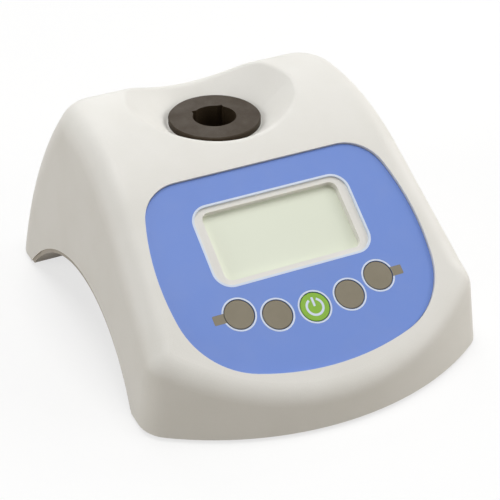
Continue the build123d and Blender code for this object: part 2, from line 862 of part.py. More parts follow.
def make_lead(name, points, section):
    """Lead with one section along straight runs joined by tangent arcs."""
    radii = bend_radii(points)
    path = FilletPolyline(*points, radius=radii)
    start = Plane(path @ 0, x_dir=(1, 0, 0) if abs((path % 0).X) < 0.9 else (0, 1, 0), z_dir=path % 0)
    lead = sweep(start * section, path=path)
    share = lead.volume / (section.area * path.length)
    print(name, "bend radii", [round(radius, 1) for radius in radii], "volume share", round(share, 4))
    return lead.solid()


def header_entry(name):
    """Middle of the rear face of a plug header."""
    x, y, _ = header_places()[name]
    return (x, board_middle() + y + header_depth / 2, board_top() + header_height / 2)


def make_power_lead():
    start = (inlet_place() * Pos(0, 0, -inlet_body_length)).position
    first = (inlet_place() * Pos(0, 0, -inlet_body_length - 9.0)).position
    x, y, z = header_entry("power")
    points = [tuple(start), tuple(first), (inlet_x - 0.3, 50.0, 17.5), (inlet_x - 0.6, 37.0, 29.0),
              (inlet_x, 20.0, 36.0), (inlet_x + 1.5, -2.0, 38.0), (inlet_x + 5.0, -20.0, 34.0),
              (x - 1.2, y + 14.5, z + 12.6), (x - 0.2, y + 9.3, z + 4.2), (x, y + 5.3, z), (x, y, z)]
    return make_lead("power_lead", points, Circle(power_lead_radius))


def make_lamp_lead(side, name):
    """Lead from a lamp board out to the side and forward to its header."""
    x, y, z = header_entry(name)
    start_x = side * (block_width / 2 + lamp_rim_thickness + board_thickness)
    start_y = adapter_y - lamp_board_width / 2 + lamp_board_inset
    start_z = light_z - lamp_board_height / 2 + lamp_board_inset
    points = [(start_x, start_y, start_z), (start_x + side * 5.5, start_y, start_z),
              (start_x + side * 9.5, start_y - 4.0, start_z - 0.6),
              (start_x + side * 10.4, start_y - 12.5, start_z - 2.4),
              (start_x + side * 8.0, start_y - 28.0, start_z - 5.0),
              (x + side * 7.5, y + 26.0, z + 22.0), (x + side * 1.6, y + 14.5, z + 12.6),
              (x + side * 0.2, y + 9.3, z + 4.2), (x, y + 5.3, z), (x, y, z)]
    return make_lead(f"{name}_lead", points, Circle(lamp_lead_radius))


def make_display_ribbon():
    """Flat ribbon from the underside of the panel board back and down to its header."""
    x, y, z = header_entry("ribbon")
    start_v = (display_centre_v + inner_key_v) / 2
    start_w = board_w - board_thickness
    start = (on_panel(x, start_v, start_w)).position
    first = (on_panel(x, start_v, start_w - 6.0)).position
    points = [tuple(start), tuple(first), (x, y + 10.8, z + 8.6), (x, y + 5.3, z), (x, y, z)]
    return make_lead("display_ribbon", points, Rectangle(ribbon_width, ribbon_thickness))


def write_parts():
    """Write one file for each sub-part."""
    parts = {
        "upper_casing": make_upper_casing(),
        "bottom_cover": make_bottom_cover(),
        "rubber_feet": make_rubber_feet(),
        "cover_screws": make_cover_screws(),
        "keypad_overlay": make_keypad_overlay(),
        "lcd_glass": make_lcd_glass(),
        "lcd_backlight": make_lcd_backlight(),
        "lcd_frame": make_lcd_frame(),
        "panel_board": make_panel_board(),
        "key_switches": make_key_switches(),
        "panel_screws": make_panel_screws(),
        "sample_adapter": make_sample_adapter(),
        "seal_ring": make_seal_ring(),
        "optical_block": make_optical_block(),
        "block_screws": make_block_screws(),
        "light_source": make_light_source(),
        "light_detector": make_light_detector(),
        "light_filter": make_light_filter(),
        "source_board": make_lamp_board(-1),
        "detector_board": make_lamp_board(1),
        "lamp_board_screws": make_lamp_screws(),
        "main_board": make_main_board(),
        "main_board_screws": make_board_screws(),
        "board_chips": make_board_chips(),
        "board_capacitors": make_board_capacitors(),
        "board_headers": make_board_headers(),
        "power_inlet": make_power_inlet(),
        "inlet_nut": make_inlet_nut(),
        "power_lead": make_power_lead(),
        "source_lead": make_lamp_lead(-1, "source"),
        "detector_lead": make_lamp_lead(1, "detector"),
        "display_ribbon": make_display_ribbon(),
    }
    for name, (x, v) in key_places.items():
        parts[name] = make_key(x, v)
    os.makedirs("parts", exist_ok=True)
    for name, shape in parts.items():
        if isinstance(shape, list):
            shape = Compound(children=[piece.solid() for piece in shape])
        export_step(shape, f"parts/{name}.step")
        print(name, len(shape.solids()))


write_parts()
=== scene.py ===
import json
from math import atan2, degrees, pi, radians

import bpy
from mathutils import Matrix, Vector


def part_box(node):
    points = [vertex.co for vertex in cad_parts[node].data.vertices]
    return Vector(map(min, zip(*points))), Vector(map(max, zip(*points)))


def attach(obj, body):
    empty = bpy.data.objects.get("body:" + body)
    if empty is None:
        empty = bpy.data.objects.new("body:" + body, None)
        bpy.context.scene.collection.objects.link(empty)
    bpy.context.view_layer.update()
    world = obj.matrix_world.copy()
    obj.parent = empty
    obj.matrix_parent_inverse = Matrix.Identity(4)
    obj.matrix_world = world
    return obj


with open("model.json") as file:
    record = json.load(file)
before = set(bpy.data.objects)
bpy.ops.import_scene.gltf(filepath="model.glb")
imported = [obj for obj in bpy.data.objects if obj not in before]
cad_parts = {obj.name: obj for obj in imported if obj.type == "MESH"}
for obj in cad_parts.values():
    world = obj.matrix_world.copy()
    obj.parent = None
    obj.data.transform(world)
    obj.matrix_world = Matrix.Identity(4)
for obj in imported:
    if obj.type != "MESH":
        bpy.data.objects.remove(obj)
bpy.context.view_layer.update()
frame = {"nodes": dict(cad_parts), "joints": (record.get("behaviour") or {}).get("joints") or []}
nodes = frame["nodes"]
joints = {joint["name"]: joint for joint in frame["joints"]}
mm = 0.001
flatness = 0.02  # points this near to a level, in millimetres, lie on one face
print("frame loaded with", len(nodes), "nodes")


# Colours are given as seen on a screen, 0 to 255
def screenColour(red, green, blue):
    linear = []
    for value in (red, green, blue):
        share = value / 255
        linear.append(share / 12.92 if share <= 0.04045 else ((share + 0.055) / 1.055) ** 2.4)
    return (*linear, 1.0)


# The panel: its slope and outward side come from the way the power key travels
pressAxis = Vector(joints["key_power_press"]["axis"])
panelOut = -pressAxis.normalized()
panelRight = Vector((1, 0, 0))
panelUp = panelOut.cross(panelRight)
panelTurn = (atan2(-panelOut.y, panelOut.z), 0, 0)


def faceLevel(node, direction):  # how far a node reaches along a direction
    return max(vertex.co.dot(direction) for vertex in nodes[node].data.vertices)


def facePlace(node, direction):  # middle of the face that reaches farthest along a direction
    level = faceLevel(node, direction)
    points = [v.co for v in nodes[node].data.vertices if level - v.co.dot(direction) < flatness * mm]
    low = Vector([min(point[i] for point in points) for i in range(3)])
    high = Vector([max(point[i] for point in points) for i in range(3)])
    return (low + high) / 2


overlayLevel = faceLevel("keypad_overlay", panelOut)
panelZero = facePlace("key_power", panelOut)
panelZero += panelOut * (overlayLevel - panelZero.dot(panelOut))


def onPanel(x, v, w=0.0):  # millimetres on the panel, from the power key's middle
    return panelZero + (panelRight * x + panelUp * v + panelOut * w) * mm


def placeOnPanel(point):  # the other way round: x, v of a point in the frame
    away = (point - panelZero) / mm
    return away.dot(panelRight), away.dot(panelUp)


# Node groups used by several materials
def newGroup(name, inputs, outputs):
    group = bpy.data.node_groups.new(name, "ShaderNodeTree")
    for label, kind, value in inputs:
        socket = group.interface.new_socket(label, in_out="INPUT", socket_type="NodeSocket" + kind)
        if value is not None:
            socket.default_value = value
    for label, kind in outputs:
        group.interface.new_socket(label, in_out="OUTPUT", socket_type="NodeSocket" + kind)
    return group, group.nodes.new("NodeGroupInput"), group.nodes.new("NodeGroupOutput")


def addNode(tree, kind, **settings):
    node = tree.nodes.new("ShaderNode" + kind)
    for key, value in settings.items():
        setattr(node, key, value)
    return node


def addMath(tree, operation, first, second=None, clamp=False):
    node = addNode(tree, "Math", operation=operation, use_clamp=clamp)
    for i, value in enumerate((first, second)):
        if value is None:
            continue
        if isinstance(value, (int, float)):
            node.inputs[i].default_value = value
        else:
            tree.links.new(value, node.inputs[i])
    return node.outputs[0]


def addMix(tree, share, first, second):
    node = addNode(tree, "Mix", data_type="RGBA")
    for socket, value in ((node.inputs[0], share), (node.inputs[6], first), (node.inputs[7], second)):
        if isinstance(value, bpy.types.NodeSocket):
            tree.links.new(value, socket)
        else:
            socket.default_value = value
    return node.outputs[2]


def addNoise(tree, vector, scale, detail=2.0, roughness=0.5):
    node = addNode(tree, "TexNoise")
    node.inputs["Detail"].default_value = detail
    node.inputs["Roughness"].default_value = roughness
    tree.links.new(vector, node.inputs["Vector"])
    if isinstance(scale, bpy.types.NodeSocket):
        tree.links.new(scale, node.inputs["Scale"])
    else:
        node.inputs["Scale"].default_value = scale
    return node.outputs["Fac"]


def addSpread(tree, value, low, high, toLow=0.0, toHigh=1.0):  # stretches a band of values
    node = addNode(tree, "MapRange")
    node.inputs["From Min"].default_value = low
    node.inputs["From Max"].default_value = high
    for label, end in (("To Min", toLow), ("To Max", toHigh)):
        if isinstance(end, bpy.types.NodeSocket):
            tree.links.new(end, node.inputs[label])
        else:
            node.inputs[label].default_value = end
    tree.links.new(value, node.inputs["Value"])
    return node.outputs["Result"]


# Fine grain of a moulded surface: eroded pits, slow mottling and a roughness that follows both
def makeMouldedGrain():
    group, given, made = newGroup("mouldedGrain", [
        ("Vector", "Vector", None), ("Color", "Color", (0.8, 0.8, 0.8, 1)),
        ("Mottle Color", "Color", (0.7, 0.7, 0.7, 1)), ("Grain Scale", "Float", 2600.0),
        ("Mottle Scale", "Float", 45.0), ("Rough Low", "Float", 0.4), ("Rough High", "Float", 0.5),
    ], [("Color", "Color"), ("Roughness", "Float"), ("Height", "Float")])
    vector = given.outputs["Vector"]
    fine = addNoise(group, vector, given.outputs["Grain Scale"], 3.0, 0.6)
    mottle = addNoise(group, vector, given.outputs["Mottle Scale"], 3.0, 0.55)
    pits = addSpread(group, fine, 0.35, 0.65)
    patch = addSpread(group, mottle, 0.38, 0.66)
    speck = addMath(group, "MULTIPLY", addMath(group, "SUBTRACT", 1.0, pits), 0.35)
    share = addMath(group, "ADD", addMath(group, "MULTIPLY", patch, 0.65), speck, True)
    colour = addMix(group, share, given.outputs["Color"], given.outputs["Mottle Color"])
    rough = addSpread(group, share, 0.0, 1.0, given.outputs["Rough Low"], given.outputs["Rough High"])
    group.links.new(colour, made.inputs["Color"])
    group.links.new(rough, made.inputs["Roughness"])
    group.links.new(pits, made.inputs["Height"])
    return group


# Settled dust: it lies on surfaces that face up and gathers in soft patches
def makeSettledDust():
    group, given, made = newGroup("settledDust", [
        ("Vector", "Vector", None), ("Color", "Color", (0.8, 0.8, 0.8, 1)),
        ("Dust Color", "Color", (0.5, 0.48, 0.44, 1)), ("Roughness", "Float", 0.4),
        ("Amount", "Float", 0.1), ("Patch Scale", "Float", 60.0),
    ], [("Color", "Color"), ("Roughness", "Float")])
    vector = given.outputs["Vector"]
    faces = addNode(group, "NewGeometry")
    parts = addNode(group, "SeparateXYZ")
    group.links.new(faces.outputs["Normal"], parts.inputs[0])
    upward = addSpread(group, parts.outputs["Z"], 0.2, 1.0)
    cloud = addSpread(group, addNoise(group, vector, given.outputs["Patch Scale"], 5.0, 0.6), 0.42, 0.7)
    motes = addSpread(group, addNoise(group, vector, 5200.0, 1.0), 0.66, 0.74)
    cover = addMath(group, "MAXIMUM", cloud, motes)
    share = addMath(group, "MULTIPLY", addMath(group, "MULTIPLY", upward, cover), given.outputs["Amount"])
    colour = addMix(group, share, given.outputs["Color"], given.outputs["Dust Color"])
    rough = addMath(group, "ADD", given.outputs["Roughness"], addMath(group, "MULTIPLY", share, 0.3))
    group.links.new(colour, made.inputs["Color"])
    group.links.new(rough, made.inputs["Roughness"])
    return group


mouldedGrain = makeMouldedGrain()
settledDust = makeSettledDust()


# Every material starts with a shader and the place on the piece
def startMaterial(name, **sockets):
    material = bpy.data.materials.new(name)
    material.use_nodes = True
    tree = material.node_tree
    shader = tree.nodes["Principled BSDF"]
    for label, value in sockets.items():
        shader.inputs[label.replace("_", " ")].default_value = value
    place = addNode(tree, "TexCoord").outputs["Object"]
    return material, tree, shader, place


def useGroup(tree, group, place, values):
    node = tree.nodes.new("ShaderNodeGroup")
    node.node_tree = group
    tree.links.new(place, node.inputs["Vector"])
    for label, value in values.items():
        if isinstance(value, bpy.types.NodeSocket):
            tree.links.new(value, node.inputs[label])
        else:
            node.inputs[label].default_value = value
    return node


def addBump(tree, shader, height, depth, strength=1.0):  # depth in millimetres
    bump = addNode(tree, "Bump")
    bump.inputs["Strength"].default_value = strength
    bump.inputs["Distance"].default_value = depth * mm
    tree.links.new(height, bump.inputs["Height"])
    tree.links.new(bump.outputs["Normal"], shader.inputs["Normal"])


# Moulded and rolled finishes: colours, scales of grain and patches, roughness, depth of grain, dust
mouldedFinishes = {
    "casingPlastic": dict(
        colour=(231, 229, 223), mottle=(227, 225, 218), grain=2600, patch=42,
        low=0.42, high=0.52, depth=0.012, dust=0.05),
    # painted shade: the cover's darker, browner grey stands in for the shade that falls on it
    "coverPlasticPaintedShade": dict(
        colour=(176, 168, 156), mottle=(168, 160, 147), grain=2300, patch=55,
        low=0.5, high=0.62, depth=0.02, dust=0.08),
    "footRubber": dict(
        colour=(46, 46, 47), mottle=(60, 59, 58), grain=1500, patch=160,
        low=0.75, high=0.9, depth=0.03, dust=0.2),
    "keyBrown": dict(
        colour=(127, 119, 100), mottle=(122, 114, 95), grain=3400, patch=170,
        low=0.42, high=0.52, depth=0.006, dust=0.05),
    "keyGreen": dict(
        colour=(132, 180, 44), mottle=(126, 174, 38), grain=3400, patch=170,
        low=0.42, high=0.52, depth=0.006, dust=0.05),
    "printPale": dict(
        colour=(217, 227, 243), mottle=(211, 221, 238), grain=3600, patch=200,
        low=0.42, high=0.5, depth=0.003, dust=0.04),
    "backlightPlastic": dict(
        colour=(240, 240, 234), mottle=(232, 233, 226), grain=1800, patch=90,
        low=0.3, high=0.42, depth=0.006, dust=0.0),
    "framePlastic": dict(
        colour=(48, 49, 52), mottle=(56, 57, 60), grain=2200, patch=120,
        low=0.45, high=0.6, depth=0.015, dust=0.1),
    "blockPlastic": dict(
        colour=(38, 38, 41), mottle=(47, 47, 50), grain=1900, patch=80,
        low=0.5, high=0.66, depth=0.02, dust=0.15),
    "componentPlastic": dict(
        colour=(40, 40, 43), mottle=(50, 50, 53), grain=3000, patch=260,
        low=0.5, high=0.65, depth=0.01, dust=0.12),
    "headerPlastic": dict(
        colour=(235, 231, 219), mottle=(226, 221, 207), grain=2600, patch=220,
        low=0.38, high=0.5, depth=0.008, dust=0.06),
    "sealRubber": dict(
        colour=(62, 62, 63), mottle=(74, 73, 72), grain=1700, patch=180,
        low=0.7, high=0.85, depth=0.02, dust=0.15),
    "inletPlastic": dict(
        colour=(40, 40, 42), mottle=(50, 50, 51), grain=2600, patch=160,
        low=0.36, high=0.5, depth=0.01, dust=0.1),
    "leadInsulation": dict(
        colour=(54, 54, 57), mottle=(66, 66, 68), grain=1500, patch=130,
        low=0.42, high=0.56, depth=0.01, dust=0.1),
}
dustColour = screenColour(196, 190, 178)


def makeMoulded(name, values):
    material, tree, shader, place = startMaterial(name)
    grain = useGroup(tree, mouldedGrain, place, {
        "Color": screenColour(*values["colour"]), "Mottle Color": screenColour(*values["mottle"]),
        "Grain Scale": values["grain"], "Mottle Scale": values["patch"],
        "Rough Low": values["low"], "Rough High": values["high"]})
    dust = useGroup(tree, settledDust, place, {
        "Color": grain.outputs["Color"], "Roughness": grain.outputs["Roughness"],
        "Dust Color": dustColour, "Amount": values["dust"]})
    tree.links.new(dust.outputs["Color"], shader.inputs["Base Color"])
    tree.links.new(dust.outputs["Roughness"], shader.inputs["Roughness"])
    addBump(tree, shader, grain.outputs["Height"], values["depth"])
    return material


materials = {name: makeMoulded(name, values) for name, values in mouldedFinishes.items()}


# The overlay: printed from behind under a satin film with a fine velvet texture
overlayLook = dict(print=(112, 143, 216), deep=(109, 140, 213), weave=3200, patch=26.0,
                   low=0.4, high=0.5, depth=0.005, dust=0.04, dustPatch=80.0)


def makeOverlayFilm(name, look):
    material, tree, shader, place = startMaterial(name)
    grain = useGroup(tree, mouldedGrain, place, {
        "Color": screenColour(*look["print"]), "Mottle Color": screenColour(*look["deep"]),
        "Grain Scale": look["weave"], "Mottle Scale": look["patch"],
        "Rough Low": look["low"], "Rough High": look["high"]})
    dust = useGroup(tree, settledDust, place, {
        "Color": grain.outputs["Color"], "Roughness": grain.outputs["Roughness"],
        "Dust Color": dustColour, "Amount": look["dust"], "Patch Scale": look["dustPatch"]})
    tree.links.new(dust.outputs["Color"], shader.inputs["Base Color"])
    tree.links.new(dust.outputs["Roughness"], shader.inputs["Roughness"])
    addBump(tree, shader, grain.outputs["Height"], look["depth"])
    return material


materials["overlayFilm"] = makeOverlayFilm("overlayFilm", overlayLook)


# The display: a clear glossy pane over a pale grey-green reflector with a very fine dot screen
displayLook = dict(pale=(231, 236, 218), dull=(228, 233, 214), dot=0.42, dotShare=0.25, cloudScale=28.0,
                   cloudShare=0.6, smearScale=40.0, low=0.3, high=0.34)


def makeDisplayPane(name, look):
    material, tree, shader, place = startMaterial(name, Coat_Weight=0.35, Coat_Roughness=0.06)
    cells = addNode(tree, "TexVoronoi")
    cells.inputs["Scale"].default_value = 1 / (look["dot"] * mm)
    cells.inputs["Randomness"].default_value = 0.15
    tree.links.new(place, cells.inputs["Vector"])
    screen = addSpread(tree, cells.outputs["Distance"], 0.1, 0.7)
    cloud = addSpread(tree, addNoise(tree, place, look["cloudScale"], 2.0), 0.35, 0.65)
    dots = addMath(tree, "MULTIPLY", screen, look["dotShare"])
    clouds = addMath(tree, "MULTIPLY", cloud, look["cloudShare"])
    share = addMath(tree, "ADD", dots, clouds, True)
    colour = addMix(tree, share, screenColour(*look["pale"]), screenColour(*look["dull"]))
    tree.links.new(colour, shader.inputs["Base Color"])
    smear = addNoise(tree, place, look["smearScale"], 2.0)
    tree.links.new(addSpread(tree, smear, 0.3, 0.7, look["low"], look["high"]), shader.inputs["Roughness"])
    return material


materials["displayPane"] = makeDisplayPane("displayPane", displayLook)


# The adapter: speckled filled plastic, turned on a lathe, so faint rings run round its axis
adapterLook = dict(body=(54, 43, 29), dark=(46, 36, 24), speck=(80, 68, 51), ring=0.32, depth=0.008,
                   speckScale=2400.0, patchScale=140.0, low=0.5, high=0.62, dust=0.03, dustPatch=150.0)
adapterLow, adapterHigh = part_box("sample_adapter")
adapterAxis = (adapterLow + adapterHigh) / 2


def makeAdapterPlastic(name, look):
    material, tree, shader, place = startMaterial(name, Specular_IOR_Level=0.2)
    centred = addNode(tree, "Mapping")
    centred.inputs["Location"].default_value = (-adapterAxis.x, -adapterAxis.y, 0)
    tree.links.new(place, centred.inputs["Vector"])
    flat = addNode(tree, "VectorMath", operation="MULTIPLY")
    flat.inputs[1].default_value = (1, 1, 0)
    tree.links.new(centred.outputs["Vector"], flat.inputs[0])
    distance = addNode(tree, "VectorMath", operation="LENGTH")
    tree.links.new(flat.outputs["Vector"], distance.inputs[0])
    turns = addMath(tree, "MULTIPLY", distance.outputs["Value"], 2 * pi / (look["ring"] * mm))
    rings = addSpread(tree, addMath(tree, "SINE", turns), -1.0, 1.0)
    speck = addSpread(tree, addNoise(tree, place, look["speckScale"], 2.0, 0.7), 0.56, 0.7)
    patch = addSpread(tree, addNoise(tree, place, look["patchScale"], 4.0, 0.6), 0.35, 0.7)
    darker = addMath(tree, "MULTIPLY", patch, 0.6)
    body = addMix(tree, darker, screenColour(*look["body"]), screenColour(*look["dark"]))
    flecked = addMix(tree, addMath(tree, "MULTIPLY", speck, 0.45), body, screenColour(*look["speck"]))
    dust = useGroup(tree, settledDust, place, {
        "Color": flecked, "Roughness": addSpread(tree, patch, 0.0, 1.0, look["low"], look["high"]),
        "Dust Color": dustColour, "Amount": look["dust"], "Patch Scale": look["dustPatch"]})
    tree.links.new(dust.outputs["Color"], shader.inputs["Base Color"])
    tree.links.new(dust.outputs["Roughness"], shader.inputs["Roughness"])
    lines = addMath(tree, "MULTIPLY", rings, 0.5)
    grains = addMath(tree, "MULTIPLY", speck, 0.5)
    addBump(tree, shader, addMath(tree, "ADD", lines, grains), look["depth"])
    return material


materials["adapterPlastic"] = makeAdapterPlastic("adapterPlastic", adapterLook)


# Circuit board: solder mask over woven laminate, with copper tracks that show as paler lines
boardLook = dict(mask=(28, 92, 58), track=(46, 120, 78), laminate=(22, 78, 48), pitch=2.54,
                 trackWidth=0.07, breakScale=260.0, weave=900.0, low=0.32, high=0.46, depth=0.02)


def makeCircuitBoard(name, look):
    material, tree, shader, place = startMaterial(name, Coat_Weight=0.3, Coat_Roughness=0.2)
    cells = addNode(tree, "TexBrick", offset=0.5, squash=1.0)
    cells.inputs["Scale"].default_value = 1 / (look["pitch"] * mm)
    cells.inputs["Mortar Size"].default_value = look["trackWidth"]
    cells.inputs["Brick Width"].default_value = 2.0
    cells.inputs["Row Height"].default_value = 0.5
    tree.links.new(place, cells.inputs["Vector"])
    breaks = addSpread(tree, addNoise(tree, place, look["breakScale"], 2.0), 0.48, 0.52)
    tracks = addMath(tree, "MULTIPLY", cells.outputs["Fac"], breaks)
    weave = addNode(tree, "TexWave", wave_type="BANDS", bands_direction="DIAGONAL")
    weave.inputs["Scale"].default_value = look["weave"]
    tree.links.new(place, weave.inputs["Vector"])
    woven = addMath(tree, "MULTIPLY", weave.outputs["Fac"], 0.4)
    base = addMix(tree, woven, screenColour(*look["mask"]), screenColour(*look["laminate"]))
    colour = addMix(tree, tracks, base, screenColour(*look["track"]))
    tree.links.new(colour, shader.inputs["Base Color"])
    rough = addSpread(tree, weave.outputs["Fac"], 0.0, 1.0, look["low"], look["high"])
    tree.links.new(rough, shader.inputs["Roughness"])
    threads = addMath(tree, "MULTIPLY", weave.outputs["Fac"], 0.2)
    addBump(tree, shader, addMath(tree, "ADD", tracks, threads), look["depth"])
    return material


materials["circuitBoard"] = makeCircuitBoard("circuitBoard", boardLook)


# Metals: plated steel, brass and the drawn cans of the capacitors
metalFinishes = {
    "screwSteel": dict(
        colour=(186, 188, 192), worn=(150, 150, 152),
        low=0.26, high=0.46, scratch=900, depth=0.006),
    "nutBrass": dict(
        colour=(201, 168, 98), worn=(160, 130, 74),
        low=0.28, high=0.5, scratch=800, depth=0.006),
    "capacitorCan": dict(
        colour=(196, 198, 202), worn=(168, 170, 175),
        low=0.3, high=0.42, scratch=1400, depth=0.003),
}


def makeMetal(name, values):
    material, tree, shader, place = startMaterial(name, Metallic=1.0)
    stretched = addNode(tree, "Mapping")
    stretched.inputs["Scale"].default_value = (1, 1, 0.15)
    tree.links.new(place, stretched.inputs["Vector"])
    drawn = addNoise(tree, stretched.outputs["Vector"], values["scratch"], 4.0, 0.7)
    scratch = addSpread(tree, drawn, 0.4, 0.68)
    stain = addSpread(tree, addNoise(tree, place, 320.0, 3.0), 0.4, 0.7)
    share = addMath(tree, "MULTIPLY", addMath(tree, "ADD", scratch, stain, True), 0.7)
    colour = addMix(tree, share, screenColour(*values["colour"]), screenColour(*values["worn"]))
    tree.links.new(colour, shader.inputs["Base Color"])
    rough = addSpread(tree, share, 0.0, 1.0, values["low"], values["high"])
    tree.links.new(rough, shader.inputs["Roughness"])
    addBump(tree, shader, scratch, values["depth"])
    return material


for name, values in metalFinishes.items():
    materials[name] = makeMetal(name, values)


# Clear cast pieces: the lamps' tinted resin and the filter's glass
clearFinishes = {
    "lampResin": dict(colour=(236, 120, 84), cloud=(222, 98, 66), ior=1.5, clear=0.55, low=0.1, high=0.22),
    "filterGlass": dict(colour=(240, 150, 92), cloud=(230, 136, 80), ior=1.52, clear=0.8, low=0.03, high=0.1),
}


def makeClear(name, values):
    sockets = dict(IOR=values["ior"], Transmission_Weight=values["clear"])
    material, tree, shader, place = startMaterial(name, **sockets)
    cloud = addSpread(tree, addNoise(tree, place, 500.0, 3.0), 0.35, 0.65)
    tint = addMix(tree, cloud, screenColour(*values["colour"]), screenColour(*values["cloud"]))
    rough = addSpread(tree, cloud, 0.0, 1.0, values["low"], values["high"])
    tree.links.new(tint, shader.inputs["Base Color"])
    tree.links.new(rough, shader.inputs["Roughness"])
    return material


for name, values in clearFinishes.items():
    materials[name] = makeClear(name, values)


# Flat ribbon lead: parallel wires show as ridges, one of them marked; the grooves between the wires carry
# painted shade
ribbonLook = dict(grey=(168, 170, 174), groove=(128, 130, 134), mark=(176, 60, 52), pitch=1.27, depth=0.15)


def makeRibbon(name, look):
    material, tree, shader, place = startMaterial(name)
    parts = addNode(tree, "SeparateXYZ")
    tree.links.new(place, parts.inputs[0])
    wave = addMath(tree, "SINE", addMath(tree, "MULTIPLY", parts.outputs["X"], 2 * pi / (look["pitch"] * mm)))
    ridge = addSpread(tree, wave, -0.9, 0.2)
    ribbonLow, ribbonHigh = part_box("display_ribbon")
    marked = addMath(tree, "LESS_THAN", parts.outputs["X"], ribbonLow.x + look["pitch"] * mm)
    wear = addSpread(tree, addNoise(tree, place, 300.0, 3.0), 0.4, 0.7, 0.0, 0.3)
    worn = addMix(tree, wear, screenColour(*look["grey"]), screenColour(*look["groove"]))
    # painted shade: the grooves between the ridges take the darker groove colour, which also serves as the
    # random wear colour above
    wires = addMix(tree, ridge, screenColour(*look["groove"]), worn)
    tree.links.new(addMix(tree, marked, wires, screenColour(*look["mark"])), shader.inputs["Base Color"])
    tree.links.new(addSpread(tree, ridge, 0.0, 1.0, 0.6, 0.4), shader.inputs["Roughness"])
    addBump(tree, shader, ridge, look["depth"])
    return material


materials["ribbonInsulation"] = makeRibbon("ribbonInsulation", ribbonLook)
print("materials made:", len(materials))


# Each node takes the finish of its slot in the record
nodeFinishes = {
    "casingPlastic": ["upper_casing"],
    "coverPlasticPaintedShade": ["bottom_cover"],
    "footRubber": ["rubber_feet"],
    "screwSteel": ["cover_screws", "panel_screws", "block_screws", "lamp_board_screws", "main_board_screws"],
    "overlayFilm": ["keypad_overlay"],
    "displayPane": ["lcd_glass"],
    "backlightPlastic": ["lcd_backlight"],
    "framePlastic": ["lcd_frame"],
    "circuitBoard": ["panel_board", "source_board", "detector_board", "main_board"],
    "componentPlastic": ["key_switches", "board_chips"],
    "adapterPlastic": ["sample_adapter"],
    "sealRubber": ["seal_ring"],
    "blockPlastic": ["optical_block"],
    "lampResin": ["light_source", "light_detector"],
    "filterGlass": ["light_filter"],
    "capacitorCan": ["board_capacitors"],
    "headerPlastic": ["board_headers"],
    "inletPlastic": ["power_inlet"],
    "nutBrass": ["inlet_nut"],
    "leadInsulation": ["power_lead", "source_lead", "detector_lead"],
    "ribbonInsulation": ["display_ribbon"],
    "keyBrown": ["key_far_left", "key_left", "key_right", "key_far_right"],
    "keyGreen": ["key_power"],
}
for finish, names in nodeFinishes.items():
    for name in names:
        for materialSlot in nodes[name].material_slots:
            materialSlot.material = materials[finish]
print("nodes finished")


# Modelling helpers
def deselectAll():
    bpy.ops.object.select_all(action="DESELECT")


def editPiece(piece):
    deselectAll()
    piece.select_set(True)
    bpy.context.view_layer.objects.active = piece
    bpy.ops.object.mode_set(mode="EDIT")


def stopEditing():
    bpy.ops.object.mode_set(mode="OBJECT")


def applyModifier(piece, kind, **settings):
    deselectAll()
    piece.select_set(True)
    bpy.context.view_layer.objects.active = piece
    modifier = piece.modifiers.new(kind.lower(), kind)
    for key, value in settings.items():
        setattr(modifier, key, value)
    bpy.ops.object.modifier_apply(modifier=modifier.name)


def settlePiece(piece, name, finish, body):
    deselectAll()
    piece.select_set(True)
    bpy.context.view_layer.objects.active = piece
    bpy.ops.object.transform_apply(location=True, rotation=True, scale=True)
    piece.name = name
    piece.data.name = name
    piece.data.materials.clear()
    piece.data.materials.append(materials[finish])
    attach(piece, body)
    return piece


def cutAway(piece, cutter):
    applyModifier(piece, "BOOLEAN", operation="DIFFERENCE", solver="EXACT", object=cutter)
    bpy.data.objects.remove(cutter)


def addDisc(radius, place, vertices=96):  # flat on the panel
    deselectAll()
    bpy.ops.mesh.primitive_circle_add(vertices=vertices, radius=radius * mm, fill_type="NGON",
                                      location=place, rotation=panelTurn)
    return bpy.context.object


def openRing(piece, width):  # leaves only a rim of the given width
    editPiece(piece)
    bpy.ops.mesh.select_mode(type="FACE")
    bpy.ops.mesh.select_all(action="SELECT")
    bpy.ops.mesh.inset(thickness=width * mm)
    bpy.ops.mesh.delete(type="FACE")
    stopEditing()


def addPlate(width, height, place, corner, segments=8):  # rounded rectangle on the panel
    deselectAll()
    bpy.ops.mesh.primitive_plane_add(size=1, location=place, rotation=panelTurn)
    piece = bpy.context.object
    piece.scale = (width * mm, height * mm, 1)
    bpy.ops.object.transform_apply(location=False, rotation=False, scale=True)
    editPiece(piece)
    bpy.ops.mesh.select_all(action="SELECT")
    bpy.ops.mesh.bevel(offset=corner * mm, segments=segments, affect="VERTICES")
    stopEditing()
    return piece


def addHoleCutter(radius, place):
    deselectAll()
    bpy.ops.mesh.primitive_cylinder_add(vertices=96, radius=radius * mm, depth=printing["cutterDepth"] * mm,
                                        location=place, rotation=panelTurn)
    return bpy.context.object


# What is printed on the overlay, raised by the thickness of the ink
printing = dict(ink=0.03, ringGap=0.05, ringWidth=0.62, holeGap=0.25, bandHeight=3.6, bandReach=10.0,
                bandCorner=0.45, notchReach=6.0, notchDepth=2.0, cutterDepth=4.0,
                lineWidth=0.75, edgeCover=0.05)
keyCap = 5.5
displayOpening = dict(width=62.2, height=31.4, middle=31.4, corner=6.3)
keyHole = keyCap + printing["holeGap"]
keyNames = ["key_far_left", "key_left", "key_power", "key_right", "key_far_right"]
keyPlaces = {name: placeOnPanel(facePlace(name, panelOut)) for name in keyNames}


